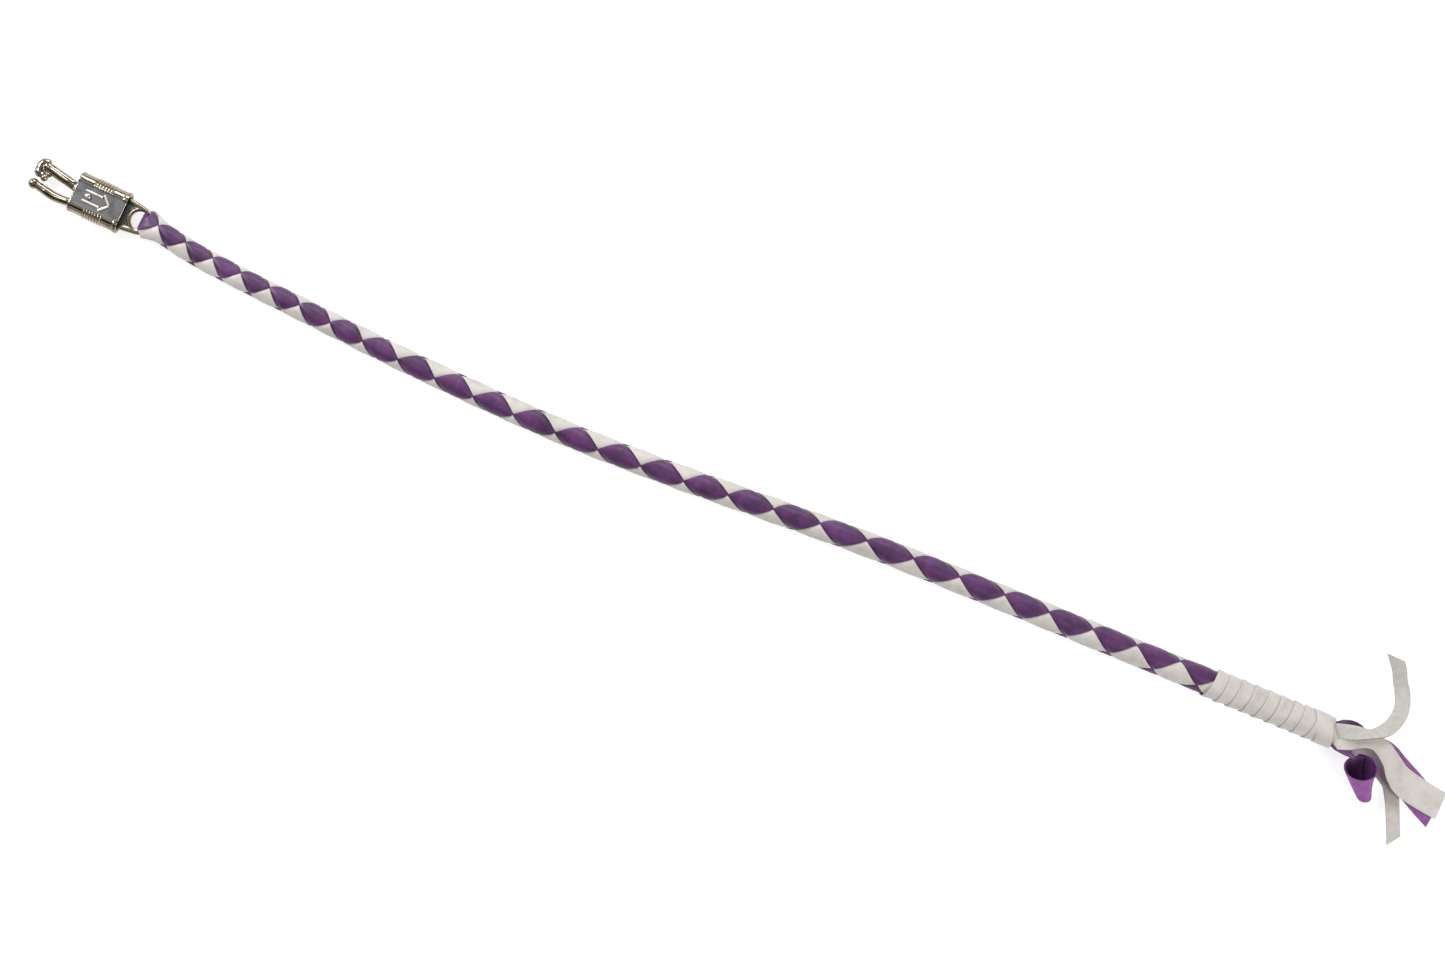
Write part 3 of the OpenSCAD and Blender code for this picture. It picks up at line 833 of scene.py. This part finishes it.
def loft(knots, sides=28):
    """Points and faces of a rounded bar through knots of (x, y, half height, half width)."""
    line = spline([(x, y, 0, hz, hy) for x, y, hz, hy in knots], 0.8)
    points = []
    count = len(line)
    for i, p in enumerate(line):
        before, after = line[max(i - 1, 0)], line[min(i + 1, count - 1)]
        heading = Vector((after[0] - before[0], after[1] - before[1], 0)).normalized()
        side = UP.cross(heading)
        points += [Vector(p[:3]) + UP * (p[3] * u + SNAP_Z) + side * (p[4] * v)
                   for u, v in circle(sides)]
    return points, tube_faces(count, sides)


def ball(x, y, r, flat=1.0):
    """A ball of radius r on the snap's middle plane, its height times flat."""
    rows, sides = 16, 28
    points = [Vector((x, y, SNAP_Z + r * flat))]
    for i in range(1, rows):
        a = pi * i / rows
        points += [Vector((x + r * sin(a) * u, y + r * sin(a) * v, SNAP_Z + r * flat * cos(a)))
                   for u, v in circle(sides)]
    points.append(Vector((x, y, SNAP_Z - r * flat)))
    faces = [(0, 1 + j, 1 + (j + 1) % sides) for j in range(sides)]
    for i in range(rows - 2):
        for j in range(sides):
            a, b = 1 + i * sides + j, 1 + i * sides + (j + 1) % sides
            faces.append((a, a + sides, b + sides, b))
    base, last = 1 + (rows - 2) * sides, len(points) - 1
    faces += [(base + j, last, base + (j + 1) % sides) for j in range(sides)]
    return points, faces


def prism(outline, z0, z1):
    """A flat plate with the given outline, from z0 to z1 about the snap's middle plane."""
    n = len(outline)
    points = [Vector((x, y, SNAP_Z + z)) for z in (z0, z1) for x, y in outline]
    faces = [(j, (j + 1) % n, n + (j + 1) % n, n + j) for j in range(n)]
    faces += [tuple(range(n))[::-1], tuple(range(n, 2 * n))]
    return points, faces


def ring_solid(x, y, big, small):
    """A round ring: small is its wire's radius, big the radius of its middle line."""
    rings, sides = 72, 20
    points = [Vector((x + (big + small * u) * c, y + (big + small * u) * s, SNAP_Z + small * v))
              for c, s in circle(rings) for u, v in circle(sides)]
    return points, hoop_faces(rings, sides)


def rounded_box(x0, x1, y0, y1, z0, z1, r=0.6):
    """A box whose upright edges have a chamfer of r, which the casting step then softens."""
    outline = [(x0 + r, y0), (x1 - r, y0), (x1, y0 + r), (x1, y1 - r), (x1 - r, y1), (x0 + r, y1),
               (x0, y1 - r), (x0, y0 + r)]
    return prism(outline, z0, z1)


def cut(obj, shapes):
    """Takes closed shapes away from obj."""
    for i, (points, faces) in enumerate(shapes):
        tool = add_object(f"cutter_{i}", points, faces, ())
        apply_modifier(obj, "BOOLEAN", operation="DIFFERENCE", object=tool, solver="EXACT")
        bpy.data.objects.remove(tool)


def cast(name, shapes, voxel, materials, cuts):
    """Fuses closed shapes into one casting with soft fillets where they meet."""
    obj = add_object(name, *joined(shapes), materials)
    apply_modifier(obj, "REMESH", mode="VOXEL", voxel_size=voxel * MM, adaptivity=0)
    apply_modifier(obj, "SMOOTH", factor=0.5, iterations=6)
    cut(obj, cuts)
    tidy_normals(obj)
    shade(obj, 40)
    return obj


def disc(x, y, r, z0, z1, sides=64):
    return prism([(x + r * u, y + r * v) for u, v in circle(sides)], z0, z1)


def make_frame():
    """Fixed jaw, ears, slotted spine and the plate with its rails and lace eye."""
    web = 1.15
    lower_jaw = loft(((42, -8.0, 3.0, 2.7), (33, -8.6, 3.1, 2.9), (28, -9.4, 3.2, 3.1),
                      (21, -9.8, 3.3, 3.3), (15, -9.1, 3.3, 3.3), (10, -8.2, 3.2, 3.1),
                      (5.5, -7.4, 3.0, 2.9)))
    # A shallow rib runs along the middle of the fixed jaw's upper side
    knuckle = loft(((31, -9, 3.5, 1.0), (22, -9.9, 3.75, 1.0), (13, -8.8, 3.6, 1.0)), 16)
    rails = [loft(((67, s * 9.9, 2, 2), (76, s * 9.0, 2, 2), (83.5, s * 7.9, 1.9, 1.9)))
             for s in (-1, 1)]
    plate = prism([(66, -10.4), (82, -8.8), (84, -8.2), (84, 8.2), (82, 8.8), (66, 10.4)], -web, web)
    ears = []
    for z0, z1 in ((2.4, 4.2), (-4.2, -2.4)):
        ears.append(disc(PIVOT.x, PIVOT.y, 4.4, z0, z1))
        ears.append(prism([(35.5, -2.9), (41, -3.5), (41, 6.5), (35.5, 5.9)], z0, z1))
    body = [rounded_box(40, 67, -11.6, 11.6, -2.4, 2.4), rounded_box(40, 67, -8.5, 8.5, -4.2, 4.2)]
    shapes = [lower_jaw, knuckle, ball(3.9, -7.5, 3.85), plate, *rails, *ears, *body,
              ring_solid(EYE_X, 0, EYE_R + 1.55, 1.75)]
    slot = rounded_box(41.5, 64, -2.7, 2.7, -9, 9, 1.2)
    obj = cast("snap_frame_cast", shapes, 0.36, METALS[:2],
               [disc(EYE_X, 0, EYE_R, -9, 9, 96), slot])
    mesh = obj.data
    for face in mesh.polygons:
        c = face.center / MM + ORIGIN
        on_web = 69 < c.x < 84 and abs(c.y) < 7.6 and abs(c.z - SNAP_Z) < web + 0.12
        face.material_index = DULL if on_web and abs(face.normal.z) > 0.85 else BRIGHT
    stand_in(obj, "snap_frame", "root")


def make_jaw():
    """The swinging jaw: boss, flat-sided arm and the hooked head over the fixed jaw's knob."""
    arm = loft(((31.5, 2.7, 2.1, 3.6), (29, 3.1, 3.0, 3.6), (24, 4.1, 3.2, 3.6), (18, 5.1, 3.2, 3.7),
                (13, 6.0, 3.2, 3.6), (9, 6.9, 3.2, 3.5), (6.8, 7.3, 3.1, 3.3)))
    spine = loft(((30, 3.2, 3.3, 0.9), (22, 4.4, 3.75, 1.0), (13, 6.2, 3.7, 1.0), (9, 7.2, 3.4, 1)), 16)
    neck = prism([(29, 0.1), (35.5, -2.5), (35.5, 5.5), (29, 6.4)], -2.1, 2.1)
    boss = disc(PIVOT.x, PIVOT.y, 4.0, -2.15, 2.15)
    hook = loft(((8.2, 9.6, 2.8, 2.3), (5.2, 9.2, 3.2, 2.9), (3.9, 6.6, 3.5, 3.2),
                 (3.9, 4.0, 3.7, 3.4), (4.4, 1.9, 3.6, 3.4)))
    shapes = [arm, spine, neck, boss, hook, ball(4.4, 1.7, 3.95), ball(7.2, 10.2, 2.3, 1.1),
              ball(8.8, -0.9, 2.7), loft(((5, 1.4, 2.9, 2.6), (8.8, -0.7, 2.4, 2.3)), 20),
              ball(11.2, 2.6, 2.1)]
    obj = cast("swing_jaw_cast", shapes, 0.34, METALS[:2],
               [disc(PIVOT.x, PIVOT.y, 1.56, -9, 9)])
    stand_in(obj, "swing_jaw", "jaw")


def obround(hz, hy):
    """Points (y, z) round a flattened section, as many whatever its size."""
    flat_n, arc_n = 26, 30
    out = []
    for s in (1, -1):
        for i in range(flat_n):
            out.append((s * hy * (-1 + 2 * i / flat_n), s * hz))
        for i in range(arc_n):
            a = pi * i / arc_n
            out.append((s * (hy + hz * sin(a)), s * hz * cos(a)))
    return out


def sleeve_profile():
    """Stations (x, share of the wall) round the sleeve's wall: outside, rear lip, inside, front."""
    out = [(SLEEVE_X0 + 0.9 - 0.9 * cos(radians(a)), 0.16 - 0.16 * sin(radians(a)))
           for a in range(0, 91, 18)]
    n = 150
    x0, x1 = SLEEVE_X0 + 0.9, SLEEVE_X1 - 0.9
    out += [(x0 + (x1 - x0) * i / n, 0) for i in range(1, n)]
    out += [(SLEEVE_X1 - 0.9 + 0.9 * sin(radians(a)), 0.2 - 0.2 * cos(radians(a)))
            for a in range(0, 91, 18)]
    out += [(SLEEVE_X1 - 0.1, 0.7), (SLEEVE_X1 - 1.2, 1), (60, 1), (50, 1), (40, 1),
            (SLEEVE_X0 + 1.2, 1), (SLEEVE_X0 + 0.1, 0.7), (SLEEVE_X0, 0.3)]
    return out


def sleeve_relief(x, y):
    """How far the sleeve's outside stands above its plain section."""
    flank = smooth(abs(y), 8.6, 10.2)
    rib_place = (x - 51.1) / 2.1
    in_ribs = smooth(3.6 - abs(rib_place), 0, 0.4)
    rib = max(0.0, cos(2 * pi * rib_place)) ** 0.7
    lip = 0.55 * smooth(x, SLEEVE_X1 - 3.4, SLEEVE_X1 - 2.0)
    front = 0.3 * (1 - smooth(x, SLEEVE_X0 + 1.2, SLEEVE_X0 + 2.4))
    recess = 0.35 * (1 - smooth(abs(y), 7.5, 8.1))
    ribs = (1.25 * rib - 0.7) * in_ribs * flank
    return ribs + (lip + front) * smooth(abs(y), 6, 10) - recess


def raised_bar(a, b, half, z0, z1):
    """A low bar with sloped sides from a to b on the sleeve's face."""
    d = Vector((b[0] - a[0], b[1] - a[1])).normalized()
    s = Vector((-d.y, d.x))
    points, faces = [], []
    for z, w, e in ((z0, half, 0), (z1 - 0.12, half * 0.95, 0.05), (z1, half * 0.75, 0.2)):
        for end, base in ((-1, a), (1, b)):
            for side in ((-1, 1) if end < 0 else (1, -1)):
                p = Vector(base) - d * end * e + s * side * w
                points.append(Vector((p.x, p.y, z)))
    for r in range(2):
        for j in range(4):
            q = r * 4
            faces.append((q + j, q + (j + 1) % 4, q + 4 + (j + 1) % 4, q + 4 + j))
    faces += [(3, 2, 1, 0), (8, 9, 10, 11)]
    return points, faces


def make_sleeve():
    """The release sleeve: ribbed flanks, flared rear lip, dull faces and a raised arrow."""
    outer, inner = obround(SLEEVE_HZ, SLEEVE_HY), obround(BORE_HZ, BORE_HY)
    profile = sleeve_profile()
    points, kinds = [], []
    for x, share in profile:
        for (yo, zo), (yi, zi) in zip(outer, inner):
            y, z = yo + (yi - yo) * share, zo + (zi - zo) * share
            lift = sleeve_relief(x, yo) if share < 0.5 else 0
            grow = Vector((0, y - clamp(y, -SLEEVE_HY, SLEEVE_HY), z))
            p = Vector((x, y, z)) + grow.normalized() * lift
            points.append(Vector((p.x, p.y, max(p.z + SNAP_Z, 0))))
    for i, p in enumerate(points):
        on_face = (abs(p.y) < 7.9 and abs(p.z - SNAP_Z) > 6
                   and SLEEVE_X0 + 0.5 < p.x < SLEEVE_X1 - 0.9)
        inside = profile[i // len(outer)][1] > 0.5
        kinds.append(DULL if on_face or inside else BRIGHT)
    # A plain arrow: two bars and an open head, pointing the way the sleeve slides
    low, top = SNAP_Z + SLEEVE_HZ - 0.6, SNAP_Z + SLEEVE_HZ + 0.4
    bar_hw = 0.85
    marks = [raised_bar((40.5, s * 3.7), (53.2, s * 3.7), bar_hw, low, top) for s in (-1, 1)]
    marks += [raised_bar((53.6, s * 6.0), (59.4, s * 0.2), bar_hw, low, top) for s in (-1, 1)]
    kinds += [WORN] * sum(len(faces) for _, faces in marks)
    wall = points, hoop_faces(len(profile), len(outer))
    obj = add_object("release_sleeve_cast", *joined([wall, *marks]), METALS, kinds, 38)
    stand_in(obj, "release_sleeve", "sleeve")


# ---------------------------------------------------------------- the whole scene

def main():
    make_camera()
    make_floor()
    make_lights()
    core = make_core()
    purple, white = make_laces()
    wrap = make_wrap()
    make_binding()
    make_frame()
    make_jaw()
    make_sleeve()
    make_rivet_and_pin()
    make_spring()
    path = [(middle(x) - ORIGIN) * MM for x in range(CORE_X0, CORE_X1 + 1, 8)]


main()
